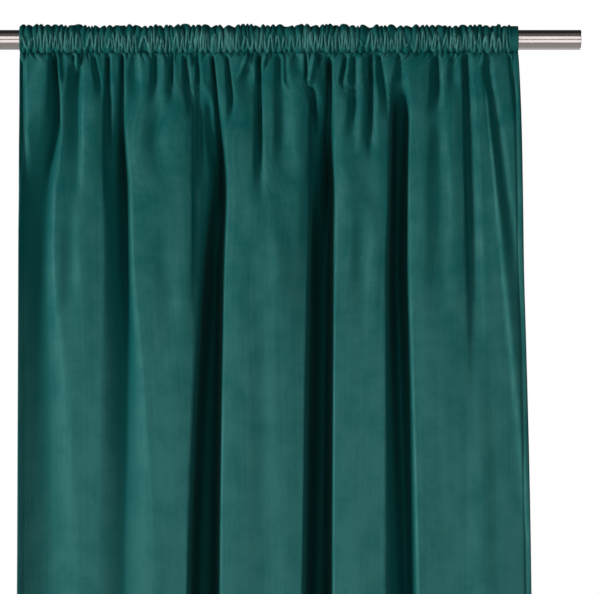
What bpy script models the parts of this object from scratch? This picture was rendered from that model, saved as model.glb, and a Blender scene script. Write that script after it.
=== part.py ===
"""A velvet curtain gathered on a curtain rod.

The curtain is one length of cloth. It hangs in front, is turned over the rod to form a
tight pocket, and comes down behind to the line where the pocket is sewn shut. On the rod
it is crushed into small crimps, which run together below the pocket into a row of narrow
folds, and those into the few deep folds of the hanging cloth.

X runs along the rod, -Y faces the room and Z is up. The origin is on the rod's axis,
halfway along it. Sizes are in millimetres until MM turns them into metres.
"""

import math
import random
from typing import NamedTuple

import bmesh
import bpy
import numpy as np

MM = 0.001

ROD_DIAMETER = 28.0
ROD_STUB = 90.0
ROD_SIDES = 48
ROD_CHAMFER = 1.0
ROD_COLOUR = (0.62, 0.60, 0.58)

CLOTH_WIDTH_ON_ROD = 711.4
CLOTH_DROP = 2250.0
HEADING_TOP = 22.6
CLOTH_THICKNESS = 1.2
CLOTH_COLOUR = (0.020, 0.115, 0.105)

CRIMPS = 75
CRIMP_HEIGHT = 5.2
CRIMP_HEIGHT_AT_STITCH = 4.4
CRIMP_WANDER = 1.0
CRIMP_SEED = 11
CREST_RANGE = (0.72, 1.0)
HOLLOW_RANGE = (0.0, 0.18)
HEM_CREST = 0.45
SIDE_HEM = 14.0
SIDE_HEM_COLUMNS = 2
POCKET_STEPS = 8
POCKET_VALLEY_RADIUS = 16.5
STITCH_HEIGHT = -17.0
POCKET_EDGE_HEIGHT = -19.5
LAYER_SPACING = 3.2

CRIMP_FADE = 24.0
FOLDS_TAKE_OVER = 60.0
SECTION_SAMPLES = 400

# Heights of the cloth's rows below the pocket, from the hem up. The rows from
# FINE_ROWS_FROM up keep a column for each crest and each hollow of the crimps.
ROW_HEIGHTS = (
    HEADING_TOP - CLOTH_DROP, -1650.0, -1150.0, -745.0, -500.0, -340.0, -260.0, -205.0, -160.0,
    -120.0, -86.0, -59.0, -39.0, -26.0, STITCH_HEIGHT,
)
FINE_ROWS_FROM = -120.0
ROW_SPACING_LEAST = 2.0

# Heights at which the tables of deep folds give their columns, from the top down.
FOLD_LEVELS = (-35.0, -110.0, -205.0, -340.0, -745.0, -2230.0)
SIDE_EDGE_LEVELS = (-17.0, -120.0, -340.0, -745.0, -2230.0)
LEFT_SIDE_EDGE = (-355.7, -355.7, -356.0, -357.0, -362.0)
RIGHT_SIDE_EDGE = (355.7, 360.0, 363.0, 373.0, 386.0)

# How far the fronts of the folds stand out from the rod's axis at each of FRONT_LEVELS.
FRONT_LEVELS = (-17.0, -30.0, -60.0, -120.0, -205.0, -340.0, -745.0, -2230.0)
FRONT_STANDS_OUT = (1.4, 5.0, 10.0, 20.0, 31.0, 38.0, 40.0, 38.0)


class DeepFold(NamedTuple):
    """A hollow that runs down to the hem: its shape at each of FOLD_LEVELS."""

    name: str
    centre: tuple
    half_width: tuple
    depth: tuple
    left_softness: float
    right_softness: float


class ShortFold(NamedTuple):
    """A narrow hollow below the pocket, which dies out at its lower end."""

    name: str
    x_top: float
    x_end: float
    start: float
    end: float
    half_width: float
    depth: float


DEEP_FOLDS = (
    DeepFold("left return", (-355, -355, -355, -355, -357, -362), (8, 14, 28, 43, 32, 40),
             (6, 20, 46, 62, 64, 58), 1.6, 1.6),
    DeepFold("second", (-222, -221, -218, -216, -209, -206), (14, 17, 23, 23, 21, 30),
             (0, 8, 52, 72, 76, 66), 2.0, 2.0),
    DeepFold("third", (-90, -88, -82, -85, -91, -98), (13, 17, 26, 25, 22, 32),
             (0, 10, 66, 86, 92, 80), 1.1, 1.1),
    DeepFold("fourth", (71, 71, 78, 74, 68, 62), (13, 15, 17, 20, 25, 34),
             (0, 10, 52, 82, 92, 78), 1.8, 1.0),
    DeepFold("fifth", (187, 187, 185, 183, 189, 196), (8, 13, 13, 17, 24, 32),
             (6, 26, 46, 76, 88, 78), 1.8, 1.3),
    DeepFold("right return", (311, 320, 329, 347, 372, 384), (6, 8, 10, 16, 14, 20),
             (10, 18, 20, 16, 8, 10), 1.6, 1.6),
)

SHORT_FOLDS = (
    ShortFold("beside left return", -308, -321, -26, -172, 5.5, 17.0),
    ShortFold("first plane", -274, -282, -20, -215, 7.5, 21.0),
    ShortFold("first plane pucker", -252, -253, -20, -70, 4.5, 12.0),
    ShortFold("second, left half", -232, -229, -20, -205, 5.5, 20.0),
    ShortFold("second, right half", -210, -206, -20, -180, 6.5, 13.0),
    ShortFold("second plane, left", -182, -176, -20, -95, 7.0, 10.0),
    ShortFold("second plane, tongue", -156, -148, -20, -125, 8.0, 12.0),
    ShortFold("second plane, right", -125, -124, -20, -80, 6.0, 13.0),
    ShortFold("third, left half", -103, -100, -20, -200, 5.5, 18.0),
    ShortFold("third, right half", -77, -72, -24, -180, 6.5, 14.0),
    ShortFold("third plane, left", -54, -54, -24, -118, 5.0, 13.0),
    ShortFold("third plane, middle", -22, -15, -20, -215, 6.5, 19.0),
    ShortFold("third plane, tongue", 10, 18, -20, -105, 7.0, 12.0),
    ShortFold("fourth, left half", 58, 62, -20, -230, 6.0, 17.0),
    ShortFold("fourth, right half", 85, 86, -20, -200, 7.0, 18.0),
    ShortFold("fourth plane, left", 113, 106, -20, -90, 5.0, 12.0),
    ShortFold("fourth plane, middle", 143, 143, -20, -172, 5.5, 19.0),
    ShortFold("fourth plane, right", 164, 164, -20, -70, 5.0, 11.0),
    ShortFold("fifth plane, left", 216, 216, -20, -90, 6.0, 11.0),
    ShortFold("fifth plane, middle", 239, 236, -24, -118, 5.5, 14.0),
    ShortFold("last plane", 279, 292, -20, -420, 6.5, 21.0),
    ShortFold("right hem", 337, 340, -20, -84, 5.0, 8.0),
)
SLIT_REACH = 2
DEEP_FLATNESS = 1.7
SHORT_FLATNESS = 3.0
SHORT_SOFTNESS = 1.2
SKIRT_WIDTH = 2.4
SKIRT_SHARE = 0.11
FADE_SHARE = 0.45
OPENING_LENGTH = 22.0


def clear_scene():
    """Take away whatever the scene holds."""
    for item in list(bpy.data.objects):
        bpy.data.objects.remove(item, do_unlink=True)


def make_material(name, colour, roughness, metallic, sheen):
    """Return a Principled material."""
    material = bpy.data.materials.new(name)
    material.use_nodes = True
    shader = material.node_tree.nodes["Principled BSDF"]
    shader.inputs["Base Color"].default_value = (*colour, 1.0)
    shader.inputs["Roughness"].default_value = roughness
    shader.inputs["Metallic"].default_value = metallic
    shader.inputs["Sheen Weight"].default_value = sheen
    return material


def smooth_step(value, start, end):
    """Rise smoothly from 0 at start to 1 at end."""
    share = np.clip((value - start) / (end - start), 0.0, 1.0)
    return share * share * (3.0 - 2.0 * share)


def at_level(height, levels, values):
    """Read a column that is given at falling heights."""
    return float(np.interp(-height, [-level for level in levels], values))


def hollow(offset, half_width, left_softness, right_softness, flatness):
    """Depth, from 0 to 1, of a hollow at an offset from its middle.

    A softness of 1 gives a hollow a crisp edge, and 2 a rounded one. A flatness of 1
    gives it a pointed bottom, and 3 a broad one.
    """
    share = np.clip(np.abs(offset) / half_width, 0.0, 1.0)
    softness = np.where(offset < 0.0, left_softness, right_softness)
    return (1.0 - share ** flatness) ** softness


def deep_depth(x, height):
    """Depth of the deep folds behind their fronts, at places x along one height."""
    depth = np.zeros_like(x)
    for fold in DEEP_FOLDS:
        offset = x - at_level(height, FOLD_LEVELS, fold.centre)
        half_width = at_level(height, FOLD_LEVELS, fold.half_width)
        full = at_level(height, FOLD_LEVELS, fold.depth)
        full *= float(smooth_step(-height, -STITCH_HEIGHT, -FOLD_LEVELS[0]))
        depth += full * hollow(offset, half_width, fold.left_softness, fold.right_softness,
                               DEEP_FLATNESS)
        skirt = np.clip(np.abs(offset) / (half_width * SKIRT_WIDTH), 0.0, 1.0)
        depth += full * SKIRT_SHARE * (0.5 + 0.5 * np.cos(math.pi * skirt))
    return depth


def short_strength(fold, height):
    """How far, from 0 to 1, a short fold is open at a height."""
    along = np.clip((fold.start - height) / (fold.start - fold.end), 0.0, 1.0)
    opened = smooth_step(fold.start - height, 0.0, OPENING_LENGTH)
    return float(opened * (1.0 - smooth_step(along, 1.0 - FADE_SHARE, 1.0)))


class Crimps:
    """The columns of the cloth where it is crushed onto the rod."""

    def __init__(self):
        """Place the crests and hollows, unevenly but the same way each time."""
        dice = random.Random(CRIMP_SEED)
        self.columns = 2 * CRIMPS + 2 * SIDE_HEM_COLUMNS
        half = CLOTH_WIDTH_ON_ROD / 2.0
        pitch = (CLOTH_WIDTH_ON_ROD - 2.0 * SIDE_HEM) / (2.0 * CRIMPS)
        hem_step = SIDE_HEM / SIDE_HEM_COLUMNS
        places = []
        crests = []
        for column in range(self.columns + 1):
            inner = column - SIDE_HEM_COLUMNS
            if column <= SIDE_HEM_COLUMNS:
                places.append(-half + column * hem_step)
                crests.append(HEM_CREST)
            elif column >= self.columns - SIDE_HEM_COLUMNS:
                places.append(half - (self.columns - column) * hem_step)
                crests.append(HEM_CREST)
            else:
                wander = dice.uniform(-CRIMP_WANDER, CRIMP_WANDER)
                places.append(-half + SIDE_HEM + inner * pitch + wander)
                crests.append(dice.uniform(*(CREST_RANGE if inner % 2 else HOLLOW_RANGE)))
        self.x = np.array(places)
        self.crest = np.array(crests)

    def column_at(self, x):
        """Return the hollow's column nearest to a place on the rod."""
        hollows = np.arange(0, self.columns + 1, 2)
        return int(hollows[np.argmin(np.abs(self.x[hollows] - x))])


class Section:
    """The folded cloth's line across one height, a point for each column.

    The middle of each deep fold stays on its own column all the way down, and between
    these the columns are divided evenly along the cloth. A short fold draws the columns
    on both sides of its own column together.
    """

    def __init__(self, height, crimps):
        """Work out the place of each column at this height."""
        below = STITCH_HEIGHT - height
        left = at_level(height, SIDE_EDGE_LEVELS, LEFT_SIDE_EDGE)
        right = at_level(height, SIDE_EDGE_LEVELS, RIGHT_SIDE_EDGE)
        taken = float(smooth_step(below, 0.0, FOLDS_TAKE_OVER))
        even = self.even_columns(height, crimps, left, right)
        self.x = crimps.x + (even - crimps.x) * taken
        self.draw_to_short_folds(height, crimps)
        crushed = CRIMP_HEIGHT_AT_STITCH * (1.0 - float(smooth_step(below, 0.0, CRIMP_FADE)))
        front = at_level(height, FRONT_LEVELS, FRONT_STANDS_OUT)
        self.y = -front + deep_depth(self.x, height) + (0.5 - crimps.crest) * crushed
        for fold in SHORT_FOLDS:
            strength = short_strength(fold, height)
            middle = self.x[crimps.column_at(fold.x_top)]
            offset = self.x - middle
            self.y += strength * fold.depth * hollow(
                offset, fold.half_width, SHORT_SOFTNESS, SHORT_SOFTNESS, SHORT_FLATNESS)

    @staticmethod
    def even_columns(height, crimps, left, right):
        """Divide the cloth between each two deep folds evenly among its columns."""
        anchors = [(0, left), (crimps.columns, right)]
        for fold in DEEP_FOLDS[1:]:
            middle = at_level(height, FOLD_LEVELS, fold.centre)
            anchors.append((crimps.column_at(fold.centre[0]), middle))
        anchors.sort()
        even = np.empty(crimps.columns + 1)
        for (first, start), (last, stop) in zip(anchors, anchors[1:]):
            samples = np.linspace(start, stop, SECTION_SAMPLES)
            lengths = np.hypot(np.diff(samples), np.diff(deep_depth(samples, height)))
            run = np.concatenate([[0.0], np.cumsum(lengths)])
            shares = np.linspace(0.0, run[-1], last - first + 1)
            even[first:last + 1] = np.interp(shares, run, samples)
        return even

    def straighten_odd_columns(self):
        """Lay each odd column straight between its neighbours, where it ends."""
        for line in (self.x, self.y):
            line[1::2] = (line[0:-1:2] + line[2::2]) / 2.0

    def draw_to_short_folds(self, height, crimps):
        """Move the columns of each short fold to its place, and gather them there."""
        columns = [0, crimps.columns]
        shifts = [0.0, 0.0]
        for fold in DEEP_FOLDS[1:]:
            columns.append(crimps.column_at(fold.centre[0]))
            shifts.append(0.0)
        for fold in SHORT_FOLDS:
            along = np.clip((fold.start - height) / (fold.start - fold.end), 0.0, 1.0)
            middle = fold.x_top + (fold.x_end - fold.x_top) * along
            column = crimps.column_at(fold.x_top)
            columns.append(column)
            shifts.append((middle - self.x[column]) * short_strength(fold, height))
        order = np.argsort(columns)
        everywhere = np.arange(crimps.columns + 1)
        self.x += np.interp(everywhere, np.array(columns)[order], np.array(shifts)[order])
        for fold in SHORT_FOLDS:
            strength = short_strength(fold, height)
            column = crimps.column_at(fold.x_top)
            middle = self.x[column]
            for side in (-1, 1):
                for reach in range(1, SLIT_REACH + 1):
                    beside = column + side * reach
                    wanted = middle + side * fold.half_width * reach / SLIT_REACH
                    if abs(self.x[beside] - middle) > abs(wanted - middle):
                        self.x[beside] += (wanted - self.x[beside]) * strength


def pocket_point(column, step, crimps):
    """Place of a column at a step of the pocket, up the front and over the rod."""
    turn = 2.0 * math.pi * step / POCKET_STEPS
    radius = POCKET_VALLEY_RADIUS + CRIMP_HEIGHT * crimps.crest[column]
    return crimps.x[column], -radius * math.sin(turn), -radius * math.cos(turn)


def cloth_rows(crimps):
    """Return the cloth's points, row by row from the hem up, over the rod and down behind."""
    rows = []
    for height in ROW_HEIGHTS:
        section = Section(height, crimps)
        if height == FINE_ROWS_FROM:
            section.straighten_odd_columns()
        rows.append([(section.x[c], section.y[c], height) for c in range(crimps.columns + 1)])
    for step in range(1, POCKET_STEPS):
        rows.append([pocket_point(c, step, crimps) for c in range(crimps.columns + 1)])
    edge = Section(POCKET_EDGE_HEIGHT, crimps)
    rows.append([(edge.x[c], edge.y[c] + LAYER_SPACING, POCKET_EDGE_HEIGHT)
                 for c in range(crimps.columns + 1)])
    return rows


def make_curtain(collection):
    """Make the curtain: a grid laid along its folds, given its thickness by Solidify."""
    crimps = Crimps()
    rows = cloth_rows(crimps)
    steps = len(rows) - 1
    mesh = bpy.data.meshes.new("curtain")
    bm = bmesh.new()
    bmesh.ops.create_grid(bm, x_segments=crimps.columns, y_segments=steps, size=1.0)
    spare = []
    for vertex in bm.verts:
        column = round((vertex.co.x + 1.0) / 2.0 * crimps.columns)
        row = round((vertex.co.y + 1.0) / 2.0 * steps)
        x, y, z = rows[row][column]
        vertex.co = (x * MM, y * MM, z * MM)
        if column % 2 == 1 and row < ROW_HEIGHTS.index(FINE_ROWS_FROM):
            spare.append(vertex)
    upright = set()
    for vertex in spare:
        for edge in vertex.link_edges:
            other = edge.other_vert(vertex)
            if abs(other.co.z - vertex.co.z) > ROW_SPACING_LEAST * MM:
                upright.add(edge)
    bmesh.ops.dissolve_edges(bm, edges=list(upright), use_verts=True, use_face_split=False)
    bm.to_mesh(mesh)
    bm.free()
    mesh.shade_smooth()
    curtain = bpy.data.objects.new("curtain", mesh)
    collection.objects.link(curtain)
    solidify = curtain.modifiers.new("cloth thickness", "SOLIDIFY")
    solidify.thickness = CLOTH_THICKNESS * MM
    solidify.offset = 0.0
    solidify.use_even_offset = True
    curtain.data.materials.append(make_material("velvet", CLOTH_COLOUR, 0.85, 0.0, 0.6))
    return curtain


def make_rod(collection):
    """Make the rod: a plain round bar with a small chamfer at each end."""
    length = CLOTH_WIDTH_ON_ROD + 2.0 * ROD_STUB
    bpy.ops.mesh.primitive_cylinder_add(
        vertices=ROD_SIDES, radius=ROD_DIAMETER / 2.0 * MM, depth=length * MM,
        rotation=(0.0, math.pi / 2.0, 0.0))
    rod = bpy.context.active_object
    rod.name = "rod"
    rod.data.name = "rod"
    for holder in list(rod.users_collection):
        holder.objects.unlink(rod)
    collection.objects.link(rod)
    rod.data.shade_smooth()
    rod.data.set_sharp_from_angle(angle=math.radians(40.0))
    bevel = rod.modifiers.new("end chamfer", "BEVEL")
    bevel.width = ROD_CHAMFER * MM
    bevel.segments = 1
    bevel.limit_method = "ANGLE"
    bevel.angle_limit = math.radians(60.0)
    rod.data.materials.append(make_material("polished steel", ROD_COLOUR, 0.22, 1.0, 0.0))
    return rod


def main():
    """Build the rod and the curtain in one collection."""
    clear_scene()
    collection = bpy.data.collections.new("velvet curtain on rod")
    bpy.context.scene.collection.children.link(collection)
    make_rod(collection)
    make_curtain(collection)


main()
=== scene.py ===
"""A velvet curtain gathered on a polished steel rod, dressed for a studio picture.

The cloth is one fine grid laid along its folds: up the hanging front, over the rod and
down behind to the line where the pocket is sewn shut. Lengths are in millimetres until MM
turns them into metres, and the studio's are in metres. X runs along the rod, -Y faces the
room and Z is up.
"""

import logging
import math
from dataclasses import dataclass, field
from enum import Enum
from typing import ClassVar

import bmesh
import bpy
import numpy as np
from mathutils import Matrix, Vector


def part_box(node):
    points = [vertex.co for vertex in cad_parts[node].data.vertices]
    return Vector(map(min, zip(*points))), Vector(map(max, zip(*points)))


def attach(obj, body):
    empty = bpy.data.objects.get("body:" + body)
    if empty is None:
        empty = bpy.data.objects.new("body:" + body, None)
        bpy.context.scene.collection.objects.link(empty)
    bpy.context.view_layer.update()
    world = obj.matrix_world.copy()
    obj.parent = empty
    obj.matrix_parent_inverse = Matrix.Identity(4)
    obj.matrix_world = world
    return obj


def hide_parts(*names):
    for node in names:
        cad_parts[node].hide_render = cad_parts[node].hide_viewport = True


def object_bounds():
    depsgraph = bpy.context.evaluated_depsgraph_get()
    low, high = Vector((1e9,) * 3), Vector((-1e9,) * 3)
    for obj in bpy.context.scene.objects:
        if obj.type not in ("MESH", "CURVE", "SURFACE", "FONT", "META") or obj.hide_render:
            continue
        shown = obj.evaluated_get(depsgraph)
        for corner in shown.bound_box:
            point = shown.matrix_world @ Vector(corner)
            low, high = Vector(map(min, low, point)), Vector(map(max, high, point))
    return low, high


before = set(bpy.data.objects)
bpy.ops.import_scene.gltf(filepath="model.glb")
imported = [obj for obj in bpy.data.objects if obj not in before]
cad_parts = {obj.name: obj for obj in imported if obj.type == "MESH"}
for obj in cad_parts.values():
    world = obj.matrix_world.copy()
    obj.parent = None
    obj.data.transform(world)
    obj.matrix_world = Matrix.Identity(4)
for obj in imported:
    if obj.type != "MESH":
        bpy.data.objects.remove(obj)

CAD_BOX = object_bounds()
MM = 0.001
LOG = logging.getLogger("curtain")

# The picture's frame is 600 by 594 pixels, and the rod's diameter gives the scale.
ROD_DIAMETER = 28.0
ROD_PIXELS = 19.6
PICTURE_WIDTH = 600
MM_PER_PIXEL = ROD_DIAMETER / ROD_PIXELS
ROD_AXIS_PIXEL = 39.8
ROD_MIDDLE_PIXEL = 269.0
PICTURE_CENTRE = (300.0, 297.0)
CAMERA_DISTANCE = 6.0
SENSOR_WIDTH = 36.0


class Side(Enum):
    """The two sides of the cloth, as seen from the room."""

    LEFT = -1
    RIGHT = 1


def smooth_step(value: np.ndarray, start: float, end: float) -> np.ndarray:
    """Rise smoothly from 0 at start to 1 at end."""
    share = np.clip((value - start) / (end - start), 0.0, 1.0)
    return share * share * (3.0 - 2.0 * share)


def fade_out(value: float, loss: float, start: float, end: float) -> float:
    """Fall smoothly from 1 at start to 1 - loss at end."""
    return 1.0 - loss * float(smooth_step(value, start, end))


def bell(offset: np.ndarray, reach: float) -> np.ndarray:
    """Return a smooth bump's height, 1 at no offset and 0 from the reach on."""
    share = np.clip(np.abs(offset) / reach, 0.0, 1.0)
    return 0.5 + 0.5 * np.cos(math.pi * share)


def to_linear(hex_colour: str) -> tuple[float, float, float, float]:
    """Turn an sRGB hex colour into linear light.

    Args:
        hex_colour: Six hex digits.

    Returns:
        Red, green, blue and an alpha of 1.
    """
    parts = [int(hex_colour[place:place + 2], 16) / 255.0 for place in (0, 2, 4)]
    linear = [p / 12.92 if p <= 0.04045 else ((p + 0.055) / 1.055) ** 2.4 for p in parts]
    return (linear[0], linear[1], linear[2], 1.0)


def add_node(tree: bpy.types.NodeTree, kind: str, inputs: dict | None = None) -> bpy.types.Node:
    """Add a node with its settings and the links into it.

    Args:
        tree: The node tree to add it to.
        kind: The node's type name.
        inputs: Values, or sockets of other nodes, by property name, input name or number.

    Returns:
        The new node.
    """
    node = tree.nodes.new(kind)
    for name, value in (inputs or {}).items():
        if isinstance(value, bpy.types.NodeSocket):
            tree.links.new(value, node.inputs[name])
        elif isinstance(name, str) and name in node.bl_rna.properties:
            setattr(node, name, value)
        else:
            node.inputs[name].default_value = value
    return node


def add_noise(tree: bpy.types.NodeTree, size_mm: float, place: bpy.types.NodeSocket,
              detail: float = 2.0, roughness: float = 0.5) -> bpy.types.NodeSocket:
    """Add a noise texture of a real size.

    Args:
        tree: The node tree to add it to.
        size_mm: Size of its patches in millimetres.
        place: The socket that says where to read it.
        detail: How many finer layers it has.
        roughness: How strong the finer layers are.

    Returns:
        The socket with its value.
    """
    noise = add_node(tree, "ShaderNodeTexNoise", {
        "Scale": 1.0 / (size_mm * MM), "Detail": detail, "Roughness": roughness, "Vector": place})
    return noise.outputs["Fac"]


def add_math(tree: bpy.types.NodeTree, operation: str, *inputs: object) -> bpy.types.NodeSocket:
    """Add a math node on numbers or sockets and return the socket with its value."""
    numbered = dict(enumerate(inputs))
    return add_node(tree, "ShaderNodeMath", {"operation": operation, **numbered}).outputs[0]


def add_range(tree: bpy.types.NodeTree, value: bpy.types.NodeSocket, start: float, end: float,
              low: float = 0.0, high: float = 1.0) -> bpy.types.NodeSocket:
    """Turn a value that runs from start to end into one that runs from low to high."""
    return add_node(tree, "ShaderNodeMapRange", {
        "Value": value, "From Min": start, "From Max": end,
        "To Min": low, "To Max": high}).outputs["Result"]


def add_mix(tree: bpy.types.NodeTree, share: bpy.types.NodeSocket, first: object,
            second: object) -> bpy.types.NodeSocket:
    """Mix two linear colours, or sockets of colours, and return the socket with the mix."""
    return add_node(tree, "ShaderNodeMix", {
        "data_type": "RGBA", 0: share, 6: first, 7: second}).outputs[2]


def add_bump(tree: bpy.types.NodeTree, shader: bpy.types.Node, height: bpy.types.NodeSocket,
             strength: float, size_mm: float) -> None:
    """Bump a shader's surface by a height."""
    bump = add_node(tree, "ShaderNodeBump", {
        "Strength": strength, "Distance": size_mm * MM, "Height": height})
    tree.links.new(bump.outputs["Normal"], shader.inputs["Normal"])


def new_material(name: str) -> tuple[bpy.types.Material, bpy.types.Node]:
    """Make a material.

    Args:
        name: Its name.

    Returns:
        The material and its Principled BSDF.
    """
    material = bpy.data.materials.new(name)
    material.use_nodes = True
    return material, material.node_tree.nodes["Principled BSDF"]


def add_object(name: str, bm: bmesh.types.BMesh) -> bpy.types.Object:
    """Put a finished mesh into the scene, smooth and at the origin.

    Args:
        name: The name of the object and of its mesh.
        bm: The mesh, which is freed here.

    Returns:
        The object.
    """
    mesh = bpy.data.meshes.new(name)
    bm.to_mesh(mesh)
    bm.free()
    mesh.shade_smooth()
    piece = bpy.data.objects.new(name, mesh)
    bpy.context.scene.collection.objects.link(piece)
    return piece


class Unevenness:
    """Smooth uneven values over two directions, the same on each run."""

    CELLS = 256
    AWAY_FROM_ZERO = 1000.0

    def __init__(self, seed: int, cell_x: float, cell_y: float) -> None:
        """Draw the values at the corners of the cells.

        Args:
            seed: Which pattern to draw.
            cell_x: Size of a cell along the first direction.
            cell_y: Size of a cell along the second direction.
        """
        self.corner = np.random.default_rng(seed).uniform(-1.0, 1.0, (self.CELLS, self.CELLS))
        self.cell_x = cell_x
        self.cell_y = cell_y

    def at(self, x: np.ndarray, y: np.ndarray | float) -> np.ndarray:
        """Read the pattern.

        Args:
            x: Places along the first direction.
            y: Places along the second direction.

        Returns:
            Values from -1 to 1.
        """
        across = np.asarray(x, float) / self.cell_x + self.AWAY_FROM_ZERO
        along = np.asarray(y, float) / self.cell_y + self.AWAY_FROM_ZERO + 0.0 * across
        column, row = np.floor(across).astype(int), np.floor(along).astype(int)
        part_x, part_y = across - column, along - row
        part_x = part_x * part_x * (3.0 - 2.0 * part_x)
        part_y = part_y * part_y * (3.0 - 2.0 * part_y)
        value = 0.0
        for step_x in (0, 1):
            for step_y in (0, 1):
                weight = (part_x if step_x else 1.0 - part_x) * (part_y if step_y else 1.0 - part_y)
                value = value + weight * self.corner[(row + step_y) % self.CELLS,
                                                     (column + step_x) % self.CELLS]
        return value


@dataclass(frozen=True)
class VelvetFinish:
    """Cotton velvet: a woven ground with a dense cut pile, given a downward nap by brushing.

    The pile swallows light that falls into it and gives a pale bloom off its tips. The base
    colour also carries painted light. A greyer colour is painted where the cloth stands
    forward and turns towards the key light, painted shade keeps it deep teal in its hollows,
    and a painted sheen makes it greyer lower down. Brushing and handling break the greyer
    colour into soft random patches, painted highlights run along the pocket's sharp
    creases, and the weave shows as faint lines along and across.
    """

    CREST_HIGHLIGHT: ClassVar[str] = "pile_crest_highlight"
    PAINTED_LIGHT: ClassVar[str] = "pile_painted_light"

    name: str = "cotton_velvet"
    pile: str = "005957"
    pile_brush_and_sheen: str = "3d7e7b"
    pile_crest_highlight: str = "5a9c96"
    bloom: str = "7cc0b8"
    roughness: float = 0.75
    specular: float = 0.15
    sheen: float = 0.22
    sheen_roughness: float = 0.3
    # A painted sheen grows from one height to the other, in metres of flat cloth above the hem.
    lower_sheen_from: float = 2.16
    lower_sheen_to: float = 1.65
    lower_sheen_more: float = 0.38
    brush_and_sheen_range: tuple = (0.60, 1.22)
    patch_mm: float = 55.0
    patch_detail: float = 5.0
    patch_roughness: float = 0.62
    patch_range: tuple = (0.3, 0.7)
    streak_mm: float = 5.0
    streak_stretch: float = 0.02
    weft_mm: float = 2.6
    weft_stretch: float = 0.04
    weft_share: float = 0.4
    weave_share: float = 0.35
    pile_mm: float = 1.1
    gloss_change: float = 0.06
    bump_strength: float = 0.35
    bump_mm: float = 0.4

    def make(self) -> bpy.types.Material:
        """Make the velvet, patterned along the cloth's own UV map in metres, with painted light.

        Returns:
            The material.
        """
        material, shader = new_material(self.name)
        tree = material.node_tree
        place = add_node(tree, "ShaderNodeUVMap", {"uv_map": "cloth"}).outputs["UV"]
        along = add_node(tree, "ShaderNodeMapping", {
            "Scale": (1.0, self.streak_stretch, 1.0), "Vector": place})
        across = add_node(tree, "ShaderNodeMapping", {
            "Scale": (self.weft_stretch, 1.0, 1.0), "Vector": place})
        patches = add_noise(tree, self.patch_mm, place, self.patch_detail, self.patch_roughness)
        streaks = add_noise(tree, self.streak_mm, along.outputs["Vector"])
        wefts = add_noise(tree, self.weft_mm, across.outputs["Vector"], detail=1.0)
        tips = add_noise(tree, self.pile_mm, place)
        weave = add_math(tree, "MULTIPLY_ADD", wefts, self.weft_share, streaks)
        brush_and_sheen = add_math(tree, "MULTIPLY_ADD", weave, self.weave_share, patches)
        up = add_node(tree, "ShaderNodeSeparateXYZ", {"Vector": place}).outputs["Y"]
        # Painted sheen: the greyer colour grows lower down the cloth.
        lower_sheen = add_range(tree, up, self.lower_sheen_from, self.lower_sheen_to, 0.0, self.lower_sheen_more)
        spread = add_range(tree, add_math(tree, "ADD", brush_and_sheen, lower_sheen), *self.brush_and_sheen_range)
        # Painted light: the cloth's vertex attribute paints the greyer colour where the cloth turns
        # towards the key light and leaves painted shade in its hollows.
        painted_light = add_node(tree, "ShaderNodeAttribute", {"attribute_name": self.PAINTED_LIGHT})
        share = add_math(tree, "MULTIPLY", spread, painted_light.outputs["Fac"])
        colour = add_mix(tree, share, to_linear(self.pile), to_linear(self.pile_brush_and_sheen))
        # Painted highlights along the pocket's sharp creases.
        crest_highlight = add_node(tree, "ShaderNodeAttribute", {"attribute_name": self.CREST_HIGHLIGHT})
        highlighted = add_mix(tree, crest_highlight.outputs["Fac"], colour, to_linear(self.pile_crest_highlight))
        tree.links.new(highlighted, shader.inputs["Base Color"])
        gloss = add_range(tree, patches, *self.patch_range, self.roughness + self.gloss_change,
                          self.roughness - self.gloss_change)
        tree.links.new(gloss, shader.inputs["Roughness"])
        height = add_math(tree, "MULTIPLY_ADD", wefts, self.weft_share, tips)
        add_bump(tree, shader, height, self.bump_strength, self.bump_mm)
        shader.inputs["Specular IOR Level"].default_value = self.specular
        shader.inputs["Sheen Weight"].default_value = self.sheen
        shader.inputs["Sheen Roughness"].default_value = self.sheen_roughness
        shader.inputs["Sheen Tint"].default_value = to_linear(self.bloom)
        return material


@dataclass(frozen=True)
class ThreadFinish:
    """Polyester sewing thread in the cloth's colour: smooth, with a small bright gloss."""

    name: str = "sewing_thread"
    colour: str = "0f5f5a"
    twist_highlight_colour: str = "2a7d76"
    roughness: float = 0.4
    twist_scale: float = 318.47
    bump_strength: float = 0.4
    bump_mm: float = 0.1

    def make(self) -> bpy.types.Material:
        """Make the thread, with its twist as a fine slanting bump and a painted highlight on its
        ridges.

        Returns:
            The material.
        """
        material, shader = new_material(self.name)
        tree = material.node_tree
        place = add_node(tree, "ShaderNodeTexCoord")
        twist = add_node(tree, "ShaderNodeTexWave", {
            "bands_direction": "DIAGONAL", "Scale": self.twist_scale,
            "Vector": place.outputs["Object"]}).outputs["Fac"]
        add_bump(tree, shader, twist, self.bump_strength, self.bump_mm)
        # Painted highlight: the twist's ridges are painted lighter.
        shade = add_mix(tree, twist, to_linear(self.colour), to_linear(self.twist_highlight_colour))
        tree.links.new(shade, shader.inputs["Base Color"])
        shader.inputs["Roughness"].default_value = self.roughness
        return material


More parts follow.
